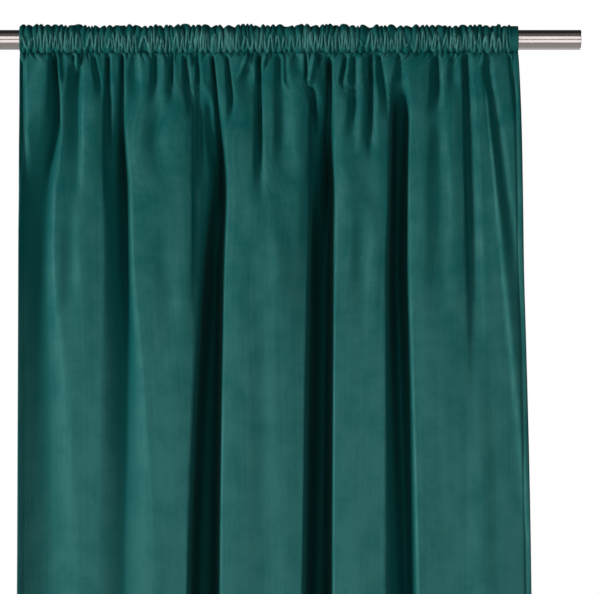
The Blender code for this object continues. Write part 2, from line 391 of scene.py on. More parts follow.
@dataclass(frozen=True)
class SteelFinish:
    """Stainless steel tube, polished along its length.

    Polishing leaves fine scratches along the tube, so its highlight has a clean edge and
    a faint grain, and the warm grey of the steel shows beside it.
    """

    name: str = "polished_stainless_steel"
    colour: str = "cac0bd"
    roughness: float = 0.16
    smoother: float = 0.04
    rougher: float = 0.05
    scratch_mm: float = 0.5
    scratch_stretch: float = 0.01
    bump_strength: float = 0.08
    bump_mm: float = 0.05

    def make(self) -> bpy.types.Material:
        """Make the steel, with scratches drawn out along X.

        Returns:
            The material.
        """
        material, shader = new_material(self.name)
        tree = material.node_tree
        place = add_node(tree, "ShaderNodeTexCoord")
        drawn = add_node(tree, "ShaderNodeMapping", {
            "Scale": (self.scratch_stretch, 1.0, 1.0), "Vector": place.outputs["Object"]})
        scratches = add_noise(tree, self.scratch_mm, drawn.outputs["Vector"])
        gloss = add_range(tree, scratches, 0.0, 1.0, self.roughness - self.smoother,
                          self.roughness + self.rougher)
        tree.links.new(gloss, shader.inputs["Roughness"])
        add_bump(tree, shader, scratches, self.bump_strength, self.bump_mm)
        shader.inputs["Base Color"].default_value = to_linear(self.colour)
        shader.inputs["Metallic"].default_value = 1.0
        return material


@dataclass(frozen=True)
class DeepFold:
    """A hollow that runs down to the hem, its shape given at each of FOLD_LEVELS.

    A softness of 1 gives a crisp edge and 2 a rounded one. A flatness of 1 gives a pointed
    bottom and 3 a broad one. A lean of 1 puts the deepest line at the right edge.
    """

    name: str
    left_softness: float
    right_softness: float
    centre: tuple
    half_width: tuple
    depth: tuple
    flatness: tuple
    lean: tuple


@dataclass(frozen=True)
class ShortFold:
    """A fold that starts under the pocket and dies out lower down.

    Its deepest line passes x_top, x_middle and x_end, from the height start to the height
    end. A depth below zero stands forward. A narrow side is a crisp edge and a wide one a
    soft slope, and fade is the share of the length over which the fold dies out.
    """

    name: str
    x_top: float
    x_middle: float
    x_end: float
    start: float
    end: float
    left_width: float
    right_width: float
    depth: float
    fade: float


# The heights of the deep folds' columns, from under the pocket down to the hem.
FOLD_LEVELS = (-35.0, -72.0, -110.0, -205.0, -340.0, -745.0, -2230.0)
DEEP_FOLDS = (
    DeepFold("left roll", 1.0, 1.5,
             centre=(-362,) * 7,
             half_width=(40, 40, 40, 40, 50, 54, 54),
             depth=(0, 0, 0, 0, -7, -19, -20),
             flatness=(1.0,) * 7,
             lean=(0.0,) * 7),
    DeepFold("left return", 1.0, 1.0,
             centre=(-320, -317, -319, -329, -332, -320, -322),
             half_width=(20, 20, 22, 24, 26, 50, 54),
             depth=(0, 1, 5, 19, 18, 8, 5),
             flatness=(1.8,) * 7,
             lean=(0.8, 0.8, 0.8, 0.6, 0.15, -0.27, -0.27)),
    DeepFold("second", 1.7, 1.7,
             centre=(-222, -221, -221, -216, -213, -201, -196),
             half_width=(14, 16, 17, 21, 22, 44, 54),
             depth=(0, 4, 8, 34, 30, 10, 10),
             flatness=(1.3, 1.3, 1.3, 1.3, 1.4, 1.3, 1.3),
             lean=(0.5, 0.5, 0.5, 0.5, 0.45, -0.1, -0.2)),
    DeepFold("third", 1.0, 1.0,
             centre=(-90, -88, -80, -70, -80, -92, -98),
             half_width=(13, 13, 14, 13, 18, 24, 32),
             depth=(0, 2, 6, 40, 78, 87, 78),
             flatness=(1.5, 1.5, 1.5, 1.6, 2.0, 3.4, 3.4),
             lean=(0.5, 0.5, 0.5, 0.3, 0.2, 0.0, 0.0)),
    DeepFold("fourth", 1.05, 0.9,
             centre=(71, 71, 71, 78, 74, 70, 62),
             half_width=(13, 14, 15, 17, 20, 22, 34),
             depth=(0, 3, 10, 52, 82, 87, 76),
             flatness=(1.5, 1.5, 1.5, 1.6, 2.2, 2.6, 2.6),
             lean=(0.4, 0.4, 0.4, 0.5, 0.4, 0.2, 0.0)),
    DeepFold("fifth", 1.2, 1.0,
             centre=(187, 187, 187, 185, 183, 189, 198),
             half_width=(10, 13, 15, 15, 17, 23, 36),
             depth=(0, 8, 46, 60, 70, 42, 32),
             flatness=(3.2, 3.2, 3.2, 2.8, 2.2, 1.5, 1.5),
             lean=(0.0, 0.0, 0.0, 0.0, 0.0, 0.3, 0.2)),
    DeepFold("right return", 1.3, 1.5,
             centre=(311, 315, 320, 332, 350, 374, 386),
             half_width=(9, 10, 12, 14, 12, 10, 12),
             depth=(7, 8, 8, 5, 2, 1, 1),
             flatness=(1.5,) * 7,
             lean=(0.2,) * 7),
)

# Name, x_top, x_middle, x_end, start, end, left_width, right_width, depth, fade.
SHORT_FOLDS = tuple(ShortFold(*row) for row in (
    ("left return, edge", -354, -353, -350, -25, -230, 4.0, 10.0, 8, 0.55),
    ("left return, ridge", -315, -321, -333, -17, -190, 26.0, 10.0, -6, 0.8),
    ("beside left return", -304, -298, -309, -19, -235, 15.0, 3.6, 13, 0.5),
    ("first plane, lip", -301, -299, -297, -17, -69, 4.3, 5.0, -4, 0.3),
    ("first plane", -272, -271, -276, -30, -260, 24.0, 7.0, 11, 0.65),
    ("first plane, pucker", -278, -278, -278, -19, -42, 3.2, 3.2, 4, 0.6),
    ("first plane, slit", -267, -267, -267, -19, -72, 4.5, 2.8, 5, 0.7),
    ("first plane, tongue", -274, -274, -274, -17, -50, 4.3, 4.3, -6, 0.4),
    ("first plane, wedge", -250, -243, -236, -19, -90, 8.6, 4.6, 6, 0.5),
    ("second, left half", -231, -232, -230, -17, -252, 4.5, 10.0, 11, 0.5),
    ("second, right half", -209, -208, -203, -17, -252, 8.0, 4.5, 12, 0.5),
    ("second plane, dimple", -193, -190, -190, -19, -109, 11.4, 11.4, 5, 0.55),
    ("second plane, left", -161, -161, -166, -17, -103, 10.0, 5.7, 7, 0.5),
    ("second plane, tongue", -150, -150, -149, -19, -96, 8.6, 8.6, -3.5, 0.15),
    ("second plane, middle", -138, -138, -140, -17, -92, 5.7, 3.7, 7, 0.5),
    ("second plane, trough", -161, -161, -159, -86, -215, 21.4, 17.1, 4, 0.6),
    ("second plane, wedge", -121, -116, -107, -19, -120, 6.5, 7.1, 9, 0.55),
    ("third, pucker", -108, -107, -107, -17, -40, 3.1, 3.1, 6, 0.55),
    ("third, left half", -103, -101, -100, -17, -230, 4.0, 9.0, 8, 0.5),
    ("third, face edge", -107, -107, -107, -62, -400, 2.6, 8.0, 3.5, 0.4),
    ("third, left face", -86, -85, -84, -70, -440, 26.0, 12.0, 10, 0.35),
    ("third, right half", -81, -67, -64, -19, -300, 7.0, 5.0, 15, 0.5),
    ("third plane, left", -60, -54, -52, -19, -132, 6.5, 4.8, 10, 0.55),
    ("third plane, dimple", -31, -31, -36, -32, -109, 15.7, 12.9, 6, 0.55),
    ("third plane, tongue", -30, -36, -43, -17, -57, 4.9, 4.9, -4, 0.3),
    ("third plane, slit", -13, -12, -11, -17, -246, 9.5, 5.0, 13, 0.55),
    ("third plane, pucker", -4, -7, -11, -17, -47, 4.3, 4.3, -4, 0.3),
    ("third plane, trough", 16, 19, 20, -19, -222, 12.9, 17.1, 7, 0.5),
    ("third plane, spike", 20, 20, 21, -19, -69, 4.6, 4.6, -5, 0.15),
    ("third plane, top", 41, 41, 44, -17, -60, 12.9, 8.6, 4, 0.55),
    ("third plane, right", 53, 54, 54, -17, -73, 4.3, 3.1, 8, 0.55),
    ("fourth, lip", 66, 61, 55, -17, -73, 5.1, 5.7, -5, 0.3),
    ("fourth, left half", 60, 60, 60, -55, -430, 4.0, 14.0, 16, 0.5),
    ("fourth, pucker", 71, 71, 71, -17, -43, 3.1, 3.1, 6, 0.55),
    ("fourth, right half", 86, 87, 87, -20, -300, 9.5, 7.5, 24, 0.5),
    ("fourth plane, left", 109, 104, 101, -19, -85, 3.7, 7.1, 9, 0.55),
    ("fourth plane, groove", 123, 123, 120, -19, -163, 11.4, 4.3, 8, 0.5),
    ("fourth plane, tongue", 132, 132, 131, -19, -162, 8.0, 8.0, -3, 0.12),
    ("fourth plane, slit", 144, 144, 144, -17, -189, 4.5, 8.6, 12, 0.6),
    ("fourth plane, wedge", 158, 166, 173, -17, -129, 11.0, 4.4, 9, 0.55),
    ("fourth plane, trough", 137, 139, 141, -152, -255, 24.3, 20.0, 4, 0.5),
    ("fifth, pucker", 186, 187, 187, -17, -75, 5.7, 5.7, 6, 0.55),
    ("fifth plane, left", 240, 241, 240, -19, -120, 12.9, 7.1, 11, 0.55),
    ("fifth plane, dimple", 263, 263, 261, -19, -96, 10.0, 10.0, 5, 0.55),
    ("fifth plane, trough", 243, 244, 247, -100, -443, 21.4, 17.1, 5, 0.5),
    ("last plane, slit", 278, 284, 293, -17, -515, 5.0, 19.0, 11, 0.6),
    ("last plane, tongue", 307, 306, 304, -17, -40, 4.3, 4.3, -4, 0.4),
    ("right hem, groove", 343, 350, 354, -19, -132, 4.9, 4.3, 4, 0.55),
    ("last plane, ridge", 309, 350, 389, -60, -900, 5.0, 19.0, -4.2, 0.2),
    ("first plane, streak", -281, -281, -284, -205, -440, 16.0, 12.0, 4, 0.6),
    ("second plane, streak", -150, -143, -132, -250, -480, 18.0, 18.0, 3, 0.6),
    ("third plane, swell", 3, 14, 22, -215, -450, 14.0, 20.0, -4, 0.6),
    ("third plane, streak", -10, -6, 6, -320, -900, 22.0, 18.0, 2.2, 0.6),
    ("fourth plane, streak", 130, 133, 134, -210, -430, 16.0, 16.0, 5, 0.6),
    ("fifth plane, swell", 300, 306, 312, -420, -1100, 24.0, 20.0, -3, 0.6),
))


class Folds:
    """How far the hanging cloth stands out from the rod's middle, at each place."""

    STITCH = -17.0
    SIDE_LEVELS = (-17.0, -120.0, -340.0, -745.0, -2230.0)
    EDGES = {Side.LEFT: (-355.7, -355.7, -356.0, -357.0, -362.0),
             Side.RIGHT: (355.7, 360.0, 363.0, 373.0, 386.0)}
    FRONT_LEVELS = (-17.0, -20.0, -25.0, -35.0, -60.0, -120.0, -205.0, -340.0, -745.0, -2230.0)
    FRONT = (1.4, 4.5, 8.0, 10.5, 13.5, 18.5, 24.5, 29.0, 28.5, 27.0)
    # Columns are read over the logarithm of the depth, so they change faster near the pocket.
    LOG_SHIFT = 40.0
    CORNER = 0.08
    CORNER_READINGS = 7
    SKIRT = 0.07
    SKIRT_FADE = (0.65, 300.0, 560.0)
    SKIRT_REACH = 2.4
    FLUTE = 0.22
    FLUTE_REACH = 15.0
    OPENING = 6.0
    OPENING_BY_DEPTH = 0.5
    OPENING_BY_START = 0.6
    TOP_WIDTH = 0.65
    TOP_SHARE = 0.35
    END_WIDTH = 0.5
    FLATNESS = 1.6
    SOFTNESS = 1.35
    RIPPLE = 1.3
    RIPPLE_START = (4.0, 60.0)
    RIPPLE_FADE = (0.6, 150.0, 500.0)
    SWAY = 3.0
    SWAY_START = (90.0, 400.0)

    def __init__(self) -> None:
        """Draw the slight unevenness of the cloth between its folds."""
        self.ripples = Unevenness(17, 22.0, 120.0)
        self.sways = Unevenness(19, 64.0, 460.0)

    def at_level(self, height: float, levels: tuple, values: tuple) -> float:
        """Read a column that is given at falling heights, rounding its corners.

        Args:
            height: Where to read it.
            levels: The heights of the column's values.
            values: The column.

        Returns:
            The value at this height.
        """
        places = [math.log(self.LOG_SHIFT - level) for level in levels]
        around = np.linspace(-self.CORNER, self.CORNER, self.CORNER_READINGS)
        around = math.log(self.LOG_SHIFT - height) + around
        return float(np.mean(np.interp(around, places, values)))

    @staticmethod
    def hollow(offset: np.ndarray, half_width: float, flatness: float, lean: float,
               fold: DeepFold) -> np.ndarray:
        """Depth of a hollow.

        Args:
            offset: Distance from its middle.
            half_width: Half its width.
            flatness: How flat its bottom is.
            lean: How far its deepest line is moved towards its right edge.
            fold: The fold, for the softness of its edges.

        Returns:
            The depth, 1 in the middle and 0 outside.
        """
        offset = offset - lean * half_width
        on_left = offset < 0.0
        reach = half_width * np.where(on_left, 1.0 + lean, 1.0 - lean)
        share = np.clip(np.abs(offset) / reach, 0.0, 1.0)
        return (1.0 - share ** flatness) ** np.where(on_left, fold.left_softness, fold.right_softness)

    def edge(self, side: Side, height: float) -> float:
        """Return where the cloth ends on one side at a height."""
        return self.at_level(height, self.SIDE_LEVELS, self.EDGES[side])

    def deep(self, x: np.ndarray, height: float) -> np.ndarray:
        """Depth of the deep folds behind their fronts.

        Args:
            x: Places along the rod.
            height: The height at which to read them.

        Returns:
            The depth at each place.
        """
        depth = np.zeros_like(x)
        opening = float(smooth_step(-height, -self.STITCH, -FOLD_LEVELS[0]))
        skirt = self.SKIRT * fade_out(-height, *self.SKIRT_FADE)
        for fold in DEEP_FOLDS:
            centre, half_width, full, flatness, lean = (
                self.at_level(height, FOLD_LEVELS, column)
                for column in (fold.centre, fold.half_width, fold.depth, fold.flatness, fold.lean))
            offset = x - centre
            full *= opening
            depth += full * self.hollow(offset, half_width, flatness, lean, fold)
            depth += skirt * full * bell(offset, half_width * self.SKIRT_REACH)
        return depth

    def short(self, x: np.ndarray, height: float) -> np.ndarray:
        """Depth of the short folds and of the flutes that they leave between them.

        Args:
            x: Places along the rod.
            height: The height at which to read them.

        Returns:
            The depth at each place, below zero where the cloth stands forward.
        """
        depth = np.zeros_like(x)
        for fold in SHORT_FOLDS:
            along = (fold.start - height) / (fold.start - fold.end)
            if not 0.0 < along < 1.0:
                continue
            opening = self.OPENING + self.OPENING_BY_DEPTH * abs(fold.depth) + (
                self.OPENING_BY_START * max(0.0, FOLD_LEVELS[0] - fold.start))
            opened = float(smooth_step(fold.start - height, 0.0, opening))
            strength = opened * fade_out(along, 1.0, 1.0 - fold.fade, 1.0)
            centre = np.interp(along, (0.0, 0.5, 1.0), (fold.x_top, fold.x_middle, fold.x_end))
            offset = x - centre
            widen = self.TOP_WIDTH + self.END_WIDTH * (opened - strength) + (
                (1.0 - self.TOP_WIDTH) * float(smooth_step(along, 0.0, self.TOP_SHARE)))
            width = np.where(offset < 0.0, fold.left_width, fold.right_width) * widen
            share = np.clip(np.abs(offset) / width, 0.0, 1.0)
            depth += strength * fold.depth * (1.0 - share ** self.FLATNESS) ** self.SOFTNESS
            if fold.depth > 0.0:
                depth += strength * self.FLUTE * fold.depth * bell(offset, width + self.FLUTE_REACH)
        return depth

    def back(self, x: np.ndarray, height: float) -> np.ndarray:
        """Where the cloth lies along Y.

        Args:
            x: Places along the rod.
            height: The height at which to read them.

        Returns:
            The place of the cloth's middle at each x.
        """
        below = self.STITCH - height
        front = self.at_level(height, self.FRONT_LEVELS, self.FRONT)
        y = -front + self.deep(x, height) + self.short(x, height)
        ripple = self.RIPPLE * float(smooth_step(below, *self.RIPPLE_START))
        y = y + ripple * self.ripples.at(x, height) * fade_out(below, *self.RIPPLE_FADE)
        sway = self.SWAY * float(smooth_step(below, *self.SWAY_START))
        return y + sway * self.sways.at(x, height)


@dataclass(frozen=True)
class Zigzag:
    """A sharp crease that runs along the pocket's front in almost upright legs.

    Its legs turn every half pitch, reach this far from the middle, drift sideways and wobble
    in length. Where the wobble is below the value of missing, no crease shows.
    """

    SHIFT: ClassVar[float] = 0.8
    RISE: ClassVar[float] = 7.0
    UNEVEN: ClassVar[float] = 0.6
    LEAST_SLOPE: ClassVar[float] = 0.08

    pitch: float
    middle: float
    reach: float
    drift: Unevenness
    wobble: Unevenness
    missing: float


@dataclass
class Curtain:
    """The cloth: its pocket, its folds, its hems and the sewing on them."""

    SAME_LEVEL: ClassVar[float] = 1e-7
    # Millimetres of cloth to one radian of the pocket.
    TURN_PATH: ClassVar[float] = 18.5
    # Far enough off for a second reading of the same pattern.
    APART: ClassVar[float] = 500.0
    APART_UP: ClassVar[float] = 400.0

    columns: int = 720
    width_on_rod: float = 711.4
    drop: float = 2250.0
    heading_top: float = 22.6
    thickness: float = 1.0
    stitch_height: float = -17.0
    pocket_edge_height: float = -22.0
    layer_spacing: float = 2.6
    side_hem: float = 14.0
    low_hem: float = 40.0
    hem_edge: float = 1.5
    gather: float = 1.97
    # How far outside and inside the side hem's line the gathers ease in.
    hem_ease: tuple = (4.0, 2.0)
    # Rows of the cloth: from one height, or degree round the rod, to another, and how many.
    # The low rows start at the hem and end this far below the rod's middle.
    low_rows: tuple = (250.0, 24)
    middle_rows: tuple = (-250.0, -62.0, 18)
    upper_rows: tuple = (-62.0, -29.0, 8)
    top_rows: tuple = (-29.0, -17.0, 9)
    pocket_rows: tuple = ((8.0, 36.0, 5), (43.0, 120.0, 12), (130.0, 180.0, 6), (205.0, 340.0, 6))
    # The weights that draw columns to slopes, bends and hems, each with its limit or reach.
    samples: int = 1401
    slope_weight: tuple = (0.45, 3.0)
    bend_weight: tuple = (2.2, 0.7)
    hem_weight: tuple = (2.5, 6.0)
    weight_blur: int = 9
    blur_passes: int = 3
    # How far below the stitches slopes and bends have their full weight.
    weight_grown: float = 45.0
    # The crushed cloth. A zone is a band of the pocket, as middle and reach along the cloth.
    hollow_radius: float = 14.9
    crush_height: float = 8.6
    crease_zone: tuple = (25.0, 22.0)
    lobe_zone: tuple = (8.5, 12.5)
    # The band of the pocket's front that gets a painted sheen.
    glow_zone: tuple = (28.0, 19.0)
    crease_width: float = 1.25
    crease_height: tuple = (0.10, 0.5)
    crease_strength: tuple = (0.65, 0.35)
    rib_spacing: float = 9.4
    rib_shift: float = 0.80
    rib_slant: float = 0.34
    rib_power: float = 0.75
    lobe_spacing: float = 10.5
    lobe_shift: float = 0.9
    lobe_power: float = 0.8
    lobe_share: float = 0.9
    # How much of the height is ribs, or lobes, and how much is puffs.
    over_mix: tuple = (0.52, 0.42)
    front_mix: tuple = (0.20, 0.22)
    lobe_mix: tuple = (0.75, 0.35)
    # The side hem lies flat, at one level, with a swell of some reach at its inner edge.
    hem_level: float = 0.5
    hem_swell: tuple = (0.25, 2.5)
    # Degrees round the rod at which the pocket puffs out, and those of its seam.
    puffed_front: tuple = (4.0, 34.0)
    puffed_back: tuple = (4.0, 60.0)
    seam_degrees: float = 24.0
    # The crush goes on below the pocket, unevenly far down.
    crush_reach: tuple = (16.0, 12.0)
    crush_begun: float = 4.0
    crush_below: float = 8.0
    crush_level: float = 0.45
    # Shares of the greyer colour, from 0 to about 1. They are painted light: a painted sheen where the
    # cloth turns to the left, towards the key light, painted shade in its hollows, a painted sheen
    # across the pocket's front, painted highlights along its creases and a steady share on the
    # pocket's back.
    painted_shade_depths: tuple = (0.0, 18.0)
    brush_and_sheen_flat: float = 0.64
    brush_and_sheen_turn: float = 0.75
    turn_fade: tuple = (0.75, 220.0, 420.0)
    brush_and_sheen_most: float = 1.2
    glow_mix: tuple = (0.4, 0.8)
    crest_highlight_least: float = 0.4
    back_brush_and_sheen: float = 0.5
    # Sewing. The lift is a share of the cloth's thickness, and the reach one of the stitch.
    stitch_inset: float = 8.0
    stitch_pinch: tuple = (2.0, 3.0)
    stitch_length: float = 2.6
    stitch_gap: float = 0.9
    stitch_radius: float = 0.28
    stitch_lift: float = 0.62
    stitch_reach: float = 0.55
    rows: list = field(default_factory=list)
    crest_highlight: list = field(default_factory=list)
    painted_light: list = field(default_factory=list)

    def __post_init__(self) -> None:
        """Draw the unevenness of the crushed cloth and mark where its side hems lie flat."""
        self.folds = Folds()
        self.zigzags = (
            Zigzag(pitch=9.8, middle=23.0, reach=12.0, drift=Unevenness(23, 21.0, 40.0),
                   wobble=Unevenness(31, 8.0, 40.0), missing=-2.0),
            Zigzag(pitch=8.3, middle=24.0, reach=13.0, drift=Unevenness(37, 25.0, 40.0),
                   wobble=Unevenness(41, 11.0, 40.0), missing=0.1),
        )
        self.rib_shifts = Unevenness(3, 19.0, 9000.0)
        self.rib_slants = Unevenness(5, 9.5, 15.0)
        self.lobe_shifts = Unevenness(43, 17.0, 9000.0)
        self.puffs = Unevenness(7, 8.0, 19.0)
        self.reach_down = Unevenness(9, 9.0, 9000.0)
        half = self.width_on_rod / 2.0
        self.place = np.linspace(-half, half, self.columns + 1)
        out, into = self.hem_ease
        flat_right = smooth_step(half - self.place, self.side_hem - out, self.side_hem + into)
        self.gathered = flat_right * smooth_step(half + self.place, 0.0, out)

    @staticmethod
    def zone(path: float, band: tuple) -> float:
        """Return how far a row lies inside a band of the pocket, 1 in its middle."""
        return float(bell(path - band[0], band[1]))

    def crests(self, path: float) -> np.ndarray:
        """How near each column is to one of the sharp creases at the pocket's front.

        They run along the pocket in zigzags, each leg almost upright, and cross in places.

        Args:
            path: How far up the cloth the row lies, from the stitch line.

        Returns:
            The share for each column: 1 on a crease and 0 between them.
        """
        place = self.place
        nearest = np.full_like(place, np.inf)
        for zigzag in self.zigzags:
            phase = place / zigzag.pitch + zigzag.SHIFT * zigzag.drift.at(place, 0.0)
            leg = np.cos(2.0 * math.pi * phase)
            middle = zigzag.middle + zigzag.RISE * zigzag.drift.at(place, self.APART)
            reach = zigzag.reach * (1.0 + zigzag.UNEVEN * zigzag.wobble.at(place, 0.0))
            miss = (path - middle) / reach - leg
            across = np.abs(miss) / np.maximum(np.abs(np.gradient(leg, place)), zigzag.LEAST_SLOPE)
            shown = zigzag.wobble.at(place, self.APART) > zigzag.missing
            nearest = np.where(shown, np.minimum(nearest, across), nearest)
        usual, change = self.crease_strength
        return np.exp(-(nearest / self.crease_width) ** 2) * self.gathered * (
            usual + change * self.rib_slants.at(place, path + self.APART_UP))

    def crush(self, path: float) -> np.ndarray:
        """Height of the crushed cloth across one row, as a share of its full height.

        Args:
            path: How far up the cloth the row lies, from the stitch line.

        Returns:
            The height at each column, from 0 to about 1.
        """
        place = self.place
        slant = self.rib_slant * self.rib_slants.at(place, path)
        phase = place / self.rib_spacing + self.rib_shift * self.rib_shifts.at(place, 0.0) + slant
        ribs = np.abs(np.sin(math.pi * phase)) ** self.rib_power
        puffs = 0.5 + 0.5 * self.puffs.at(place, path)
        front = self.zone(path, self.crease_zone)
        over = self.over_mix[0] * ribs + self.over_mix[1] * puffs
        high = (1.0 - front) * over + front * (self.front_mix[0] * ribs + self.front_mix[1] * puffs)
        high = high + (self.crease_height[0] + self.crease_height[1] * front) * self.crests(path)
        lobe_phase = place / self.lobe_spacing + self.lobe_shift * self.lobe_shifts.at(place, 0.0)
        lobes = np.abs(np.sin(math.pi * lobe_phase)) ** self.lobe_power
        low = self.lobe_share * self.zone(path, self.lobe_zone)
        high = (1.0 - low) * high + low * (self.lobe_mix[0] * lobes + self.lobe_mix[1] * puffs)
        from_hem = self.width_on_rod / 2.0 - place - self.side_hem
        flat = self.hem_level + self.hem_swell[0] * bell(from_hem + 1.0, self.hem_swell[1])
        return high * self.gathered + flat * (1.0 - self.gathered)

    def pocket_row(self, turn: float) -> np.ndarray:
        """One row of the pocket.

        Args:
            turn: Angle round the rod, from underneath, up the front and over.

        Returns:
            The points of its columns.
        """
        degrees = math.degrees(turn)
        crush = self.crush(turn * self.TURN_PATH)
        puffed = float(smooth_step(degrees, *self.puffed_front)
                       * smooth_step(360.0 - degrees, *self.puffed_back))
        radius = self.hollow_radius + self.crush_height * crush * puffed
        seam = max(0.0, 1.0 - min(degrees, 360.0 - degrees) / self.seam_degrees) ** 2
        radius = radius + (-self.stitch_height - self.hollow_radius) * seam
        return np.stack([self.place, -radius * math.sin(turn), -radius * math.cos(turn)], axis=1)

    def spread(self, heights: list) -> np.ndarray:
        """Share the columns out along each row, closer where the cloth bends.

        Args:
            heights: The heights of the rows.

        Returns:
            One row of places along X for each height.
        """
        share = np.linspace(0.0, 1.0, self.samples)
        weights, levels = [], []
        for height in heights:
            left, right = self.folds.edge(Side.LEFT, height), self.folds.edge(Side.RIGHT, height)
            x = left + (right - left) * share
            slope = np.gradient(self.folds.back(x, height), x)
            bend = np.abs(np.gradient(slope, x))
            taken = float(smooth_step(self.stitch_height - height, 0.0, self.weight_grown))
            weight = self.slope_weight[0] * np.minimum(np.abs(slope), self.slope_weight[1])
            weight = weight + self.bend_weight[0] * np.minimum(bend, self.bend_weight[1])
            blur = np.ones(self.weight_blur) / self.weight_blur
            weight = 1.0 + taken * np.convolve(weight, blur, mode="same")
            for end in (left, right):
                inside = np.abs(x - end) - self.stitch_inset
                weight = weight + self.hem_weight[0] * bell(inside, self.hem_weight[1])
            weights.append(weight)
            levels.append(x)
        weights = np.array(weights)
        for _ in range(self.blur_passes):
            padded = np.concatenate([weights[:1], weights, weights[-1:]])
            weights = 0.25 * padded[:-2] + 0.5 * padded[1:-1] + 0.25 * padded[2:]
        columns = (self.place + self.width_on_rod / 2.0) / self.width_on_rod
        spread = []
        for weight, x in zip(weights, levels):
            run = np.concatenate([[0.0], np.cumsum((weight[1:] + weight[:-1]) / 2.0)])
            spread.append(np.interp(columns * run[-1], run, x))
        return np.array(spread)

    def panel_row(self, x: np.ndarray, height: float) -> np.ndarray:
        """One row of the hanging cloth.

        Args:
            x: The places of its columns along X.
            height: The row's height.

        Returns:
            The points of its columns.
        """
        below = self.stitch_height - height
        reach = self.crush_reach[0] + self.crush_reach[1] * self.reach_down.at(self.place, 0.0)
        begun = float(smooth_step(below, 0.0, self.crush_begun))
        crushed = (1.0 - smooth_step(below / reach, 0.0, 1.0)) * begun
        low = (self.crush_level - self.crush(-below)) * self.crush_below
        y = self.folds.back(x, height) + low * crushed
        for end in (x[0], x[-1]):
            inside = np.abs(x - end) - self.stitch_inset
            y += self.stitch_pinch[0] * bell(inside, self.stitch_pinch[1])
        return np.stack([x, y, np.full_like(x, height)], axis=1)

    def lay_rows(self) -> None:
        """Work out every row, from the hem up, over the rod and down behind."""
        low = self.heading_top - self.drop
        heights = [-float(h) for h in np.geomspace(-low - self.hem_edge, *self.low_rows)]
        heights = [low, *heights[:-1], *np.linspace(*self.middle_rows)[:-1]]
        self.fine_row = len(heights)
        heights += [*np.linspace(*self.upper_rows)[:-1], *np.linspace(*self.top_rows)]
        for x, height in zip(self.spread(heights), heights):
            self.rows.append(self.panel_row(x, height))
            self.crest_highlight.append(np.zeros(self.columns + 1))
            # Painted light: the greyer colour grows where the cloth turns to the left, towards the key
            # light, and fades to none in the hollows as painted shade.
            hollow = self.folds.deep(x, height) + self.folds.short(x, height)
            slope = np.gradient(self.folds.back(x, height), x)
            turn = self.brush_and_sheen_turn * fade_out(-height, *self.turn_fade)
            brush_and_sheen = np.clip(self.brush_and_sheen_flat - turn * slope, 0.0, self.brush_and_sheen_most)
            self.painted_light.append(brush_and_sheen * (1.0 - smooth_step(hollow, *self.painted_shade_depths)))
        self.stitch_row = len(self.rows) - 1
        for band in self.pocket_rows:
            for turn in np.radians(np.linspace(*band)):
                path = float(turn) * self.TURN_PATH
                # A painted sheen across the pocket's front, stronger where the crushed cloth stands
                # out, and painted highlights along its creases there.
                glow = self.zone(path, self.glow_zone)
                least, change = self.glow_mix
                self.rows.append(self.pocket_row(float(turn)))
                self.crest_highlight.append(self.crests(path) * (
                    self.crest_highlight_least + (1.0 - self.crest_highlight_least) * glow))
                self.painted_light.append(glow * (least + change * self.crush(path)))
        # The pocket's back layer: no crease highlights and a steady share of the greyer colour.
        for height in (self.stitch_height, self.pocket_edge_height):
            row = self.panel_row(self.place, height)
            self.rows.append(row + np.array([0.0, self.layer_spacing, 0.0]))
            self.crest_highlight.append(np.zeros(self.columns + 1))
            self.painted_light.append(np.full(self.columns + 1, self.back_brush_and_sheen))

    def build(self) -> bpy.types.Object:
        """Make the cloth from one grid, with fewer columns where the folds are broad.

        Returns:
            The cloth, with its UV map in metres of flat cloth.
        """
        self.lay_rows()
        points = np.array(self.rows)
        middle = points[:, self.columns // 2]
        up = np.concatenate([[0.0], np.cumsum(np.linalg.norm(np.diff(middle[:, 1:], axis=0), axis=1))])
        steps = len(self.rows) - 1
        bm = bmesh.new()
        bmesh.ops.create_grid(bm, x_segments=self.columns, y_segments=steps, size=1.0)
        along_u = bm.verts.layers.float.new("along_u")
        along_v = bm.verts.layers.float.new("along_v")
        # Vertex shares of the painted crease highlights and of the painted light.
        crest_highlight = bm.verts.layers.float.new(VelvetFinish.CREST_HIGHLIGHT)
        painted_light = bm.verts.layers.float.new(VelvetFinish.PAINTED_LIGHT)
        spare = []
        for vertex in bm.verts:
            column = round((vertex.co.x + 1.0) / 2.0 * self.columns)
            row = round((vertex.co.y + 1.0) / 2.0 * steps)
            vertex[along_u] = self.place[column] * self.gather * MM
            vertex[along_v] = up[row] * MM
            vertex[crest_highlight] = self.crest_highlight[row][column]
            vertex[painted_light] = self.painted_light[row][column]
            vertex.co = points[row, column] * MM
            if column % 2 == 1 and row < self.fine_row:
                spare.append(vertex)
        # A dict keeps each edge once and in order, so that each run gives the same mesh.
        upright = dict.fromkeys(
            edge for vertex in spare for edge in vertex.link_edges
            if abs(edge.other_vert(vertex)[along_v] - vertex[along_v]) > self.SAME_LEVEL)
        bmesh.ops.dissolve_edges(bm, edges=list(upright), use_verts=True, use_face_split=False)
        uv = bm.loops.layers.uv.new("cloth")
        for face in bm.faces:
            for loop in face.loops:
                loop[uv].uv = (loop.vert[along_u], loop.vert[along_v])
        for layer in ("along_u", "along_v"):
            bm.verts.layers.float.remove(bm.verts.layers.float[layer])
        curtain = add_object("velvet_curtain", bm)
        solidify = curtain.modifiers.new("cloth thickness", "SOLIDIFY")
        solidify.thickness = self.thickness * MM
        solidify.offset = 0.0
        return curtain

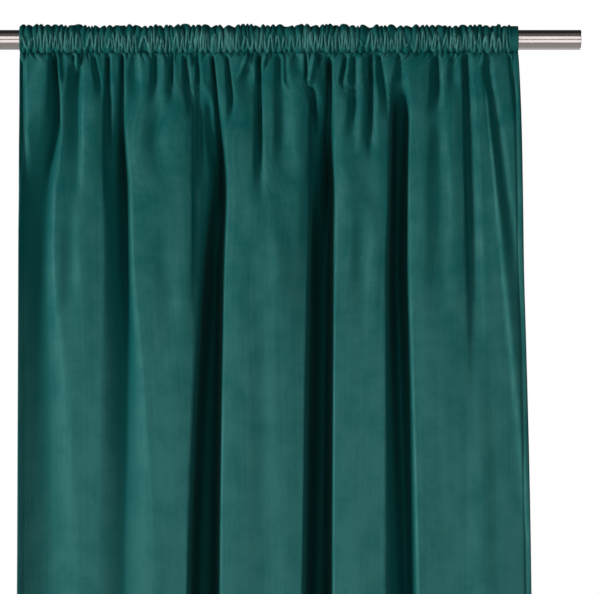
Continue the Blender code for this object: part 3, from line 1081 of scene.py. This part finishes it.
    def sew(self) -> bpy.types.Object:
        """Make the stitches of the hems and of the pocket's back, as one mesh.

        Returns:
            The stitches.
        """
        bm = bmesh.new()
        for side in Side:
            line = []
            for row in self.rows[:self.stitch_row]:
                edge = row[0 if side is Side.LEFT else -1, 0]
                x = edge - side.value * self.stitch_inset
                line.append((x, np.interp(x, row[:, 0], row[:, 1]), row[0, 2]))
            self.sew_line(bm, np.array(line), -1.0)
        lower, upper = self.rows[1][::2], self.rows[2][::2]
        share = (self.low_hem - self.hem_edge) / (upper[0, 2] - lower[0, 2])
        self.sew_line(bm, lower + (upper - lower) * share, -1.0)
        self.sew_line(bm, self.rows[-2], 1.0)
        return add_object("hem_stitches", bm)

    def sew_line(self, bm: bmesh.types.BMesh, line: np.ndarray, outwards: float) -> None:
        """Sew one line of stitches along the cloth.

        Args:
            bm: The mesh that takes them.
            line: Points along the cloth's middle.
            outwards: -1 for the front of the cloth and 1 for its back.
        """
        length, gap, radius = self.stitch_length, self.stitch_gap, self.stitch_radius
        run = np.concatenate([[0.0], np.cumsum(np.linalg.norm(np.diff(line, axis=0), axis=1))])
        slope = np.zeros_like(run)
        if np.ptp(line[:, 0]) > np.ptp(line[:, 2]):
            slope = np.gradient(line[:, 1], line[:, 0])
        for start in np.arange(gap, run[-1] - length, length + gap):
            ends = [Vector([np.interp(s, run, line[:, axis]) for axis in range(3)])
                    for s in (start, start + length)]
            away = Vector((-np.interp(start, run, slope), 1.0, 0.0)).normalized()
            ends = [end + away * self.thickness * self.stitch_lift * outwards for end in ends]
            turn = (ends[1] - ends[0]).to_track_quat("Z", "Y").to_matrix().to_4x4()
            reach = length * self.stitch_reach
            size = Matrix.Diagonal((radius * MM, radius * MM, reach * MM, 1.0))
            centre = Matrix.Translation((ends[0] + ends[1]) / 2.0 * MM)
            bmesh.ops.create_icosphere(bm, subdivisions=1, radius=1.0, matrix=centre @ turn @ size)

    def dress(self, rod_name: str) -> list[bpy.types.Object]:
        """Build the cloth and its sewing, hang them on the root body and hide the CAD curtain.

        Args:
            rod_name: The piece that the cloth hangs from; not used.

        Returns:
            The cloth and its stitches.
        """
        curtain = self.build()
        curtain.data.materials.append(VelvetFinish().make())
        stitches = self.sew()
        stitches.data.materials.append(ThreadFinish().make())
        for piece in (curtain, stitches):
            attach(piece, "root")
        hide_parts("curtain")
        LOG.info("curtain: %d rows, %d columns", len(self.rows), self.columns)
        for fold in (*DEEP_FOLDS, *SHORT_FOLDS):
            LOG.debug("fold: %s", fold.name)
        return [curtain, stitches]


@dataclass
class Rod:
    """The plain round rod that the cloth hangs from."""

    diameter: float = ROD_DIAMETER
    sides: int = 128
    chamfer: float = 1.0
    rim_angle: float = 60.0

    def dress(self) -> bpy.types.Object:
        """Make the rod as smooth as the real one, in the place of the faceted bar.

        Returns:
            The rod.
        """
        low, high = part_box("rod")
        bm = bmesh.new()
        lie = Matrix.Rotation(math.pi / 2.0, 4, "Y")
        radius = self.diameter / 2.0 * MM
        bmesh.ops.create_cone(bm, cap_ends=True, segments=self.sides, radius1=radius,
                              radius2=radius, depth=high[0] - low[0], matrix=lie)
        rims = [edge for edge in bm.edges if len(edge.link_faces) == 2
                and edge.calc_face_angle(0.0) > math.radians(self.rim_angle)]
        bmesh.ops.bevel(bm, geom=rims, offset=self.chamfer * MM, affect="EDGES", segments=3,
                        profile=0.5, material=-1)
        rod = add_object("polished_rod", bm)
        weighted = rod.modifiers.new("straight reflections", "WEIGHTED_NORMAL")
        weighted.weight = 100
        rod.data.materials.append(SteelFinish().make())
        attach(rod, "root")
        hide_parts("rod")
        LOG.info("rod: %d mm round, %.0f mm long", self.diameter, (high[0] - low[0]) / MM)
        return rod


@dataclass(frozen=True)
class Softbox:
    """A soft studio lamp: where it stands, where it looks, its size and its power."""

    name: str
    place: tuple
    target: tuple
    width: float
    height: float
    power: float
    colour: str = "ffffff"

    def light(self) -> None:
        """Hang the lamp, out of the camera's own sight."""
        data = bpy.data.lights.new(self.name, "AREA")
        data.shape = "RECTANGLE"
        data.size = self.width
        data.size_y = self.height
        data.energy = self.power
        data.color = to_linear(self.colour)[:3]
        lamp = bpy.data.objects.new(self.name, data)
        lamp.location = self.place
        look = Vector(self.target) - Vector(self.place)
        lamp.rotation_euler = look.to_track_quat("-Z", "Y").to_euler()
        lamp.visible_camera = False
        bpy.context.scene.collection.objects.link(lamp)


@dataclass
class Studio:
    """A plain pale floor, a white surround, soft lamps and the camera."""

    floor_colour: str = "e3e3e2"
    floor_gap: float = 0.012
    floor_size: float = 8.6
    floor_glow: float = 0.16
    floor_roughness: float = 0.7
    fill: float = 0.03
    lamps: tuple = (
        Softbox("left_softbox", (-5.9, -3.2, -0.8), (0.0, 0.0, -0.7), 2.1, 2.1, 335.0),
        Softbox("right_softbox", (4.9, -4.6, -1.15), (0.0, 0.0, -0.7), 2.4, 2.1, 47.0),
        Softbox("upper_strip", (0.56, -2.5, 0.93), (0.56, 0.0, 0.0), 0.3, 1.45, 2.7),
        Softbox("lower_strip", (0.56, -2.5, -0.83), (0.56, 0.0, 0.0), 0.3, 1.45, 2.7),
        Softbox("far_upper_strip", (-0.56, -2.5, 0.93), (-0.56, 0.0, 0.0), 0.3, 1.45, 2.7),
        Softbox("far_lower_strip", (-0.56, -2.5, -0.83), (-0.56, 0.0, 0.0), 0.3, 1.45, 2.7),
        Softbox("overhead_strip", (0.52, -0.9, 1.2), (0.5, 0.0, 0.0), 0.3, 1.2, 0.16),
        Softbox("far_overhead_strip", (-0.52, -0.9, 1.2), (-0.5, 0.0, 0.0), 0.3, 1.2, 0.16),
        Softbox("back_softbox", (1.9, 3.0, -0.6), (0.0, 0.0, -1.0), 1.4, 2.2, 75.0),
    )

    def build(self) -> None:
        """Lay the floor, hang the lamps and set the surround."""
        for lamp in self.lamps:
            lamp.light()
        low = CAD_BOX[0]
        bm = bmesh.new()
        bmesh.ops.create_grid(bm, x_segments=1, y_segments=1, size=self.floor_size / 2.0)
        bmesh.ops.translate(bm, verts=bm.verts, vec=(0.0, 0.0, low[2] - self.floor_gap))
        floor = add_object("studio_floor", bm)
        material, shader = new_material("pale_floor")
        shader.inputs["Base Color"].default_value = to_linear(self.floor_colour)
        shader.inputs["Roughness"].default_value = self.floor_roughness
        shader.inputs["Emission Color"].default_value = to_linear(self.floor_colour)
        shader.inputs["Emission Strength"].default_value = self.floor_glow
        floor.data.materials.append(material)
        self.surround()

    def surround(self) -> None:
        """Make the surround white to the camera and dim to the cloth."""
        world = bpy.data.worlds.new("studio")
        world.use_nodes = True
        tree = world.node_tree
        plain = tree.nodes["Background"]
        white = to_linear("ffffff")
        plain.inputs["Color"].default_value = white
        plain.inputs["Strength"].default_value = self.fill
        seen = add_node(tree, "ShaderNodeBackground", {"Strength": 1.0, "Color": white})
        ray = add_node(tree, "ShaderNodeLightPath")
        both = add_node(tree, "ShaderNodeMixShader", {
            0: ray.outputs["Is Camera Ray"], 1: plain.outputs[0], 2: seen.outputs[0]})
        tree.links.new(both.outputs[0], tree.nodes["World Output"].inputs["Surface"])
        bpy.context.scene.world = world

    def set_camera(self) -> None:
        """Set the camera square to the cloth, where it frames what the picture does."""
        across = (PICTURE_CENTRE[0] - ROD_MIDDLE_PIXEL) * MM_PER_PIXEL * MM
        up = (ROD_AXIS_PIXEL - PICTURE_CENTRE[1]) * MM_PER_PIXEL * MM
        data = bpy.data.cameras.new("camera")
        data.sensor_width = SENSOR_WIDTH
        data.lens = SENSOR_WIDTH * CAMERA_DISTANCE / (PICTURE_WIDTH * MM_PER_PIXEL * MM)
        camera = bpy.data.objects.new("camera", data)
        camera.location = (across, -CAMERA_DISTANCE, up)
        camera.rotation_euler = (math.pi / 2.0, 0.0, 0.0)
        bpy.context.scene.collection.objects.link(camera)
        bpy.context.scene.camera = camera


def main() -> None:
    """Build the rod, the cloth and the studio, in that order."""
    logging.basicConfig(level=logging.INFO, format="%(name)s %(message)s")
    studio = Studio()
    studio.set_camera()
    rod = Rod().dress()
    for piece in (rod, *Curtain().dress(rod.name)):
        LOG.info("%s: %d faces", piece.name, len(piece.data.polygons))
    studio.build()
    bpy.context.scene.view_settings.view_transform = "Standard"


if __name__ == "__main__":
    main()
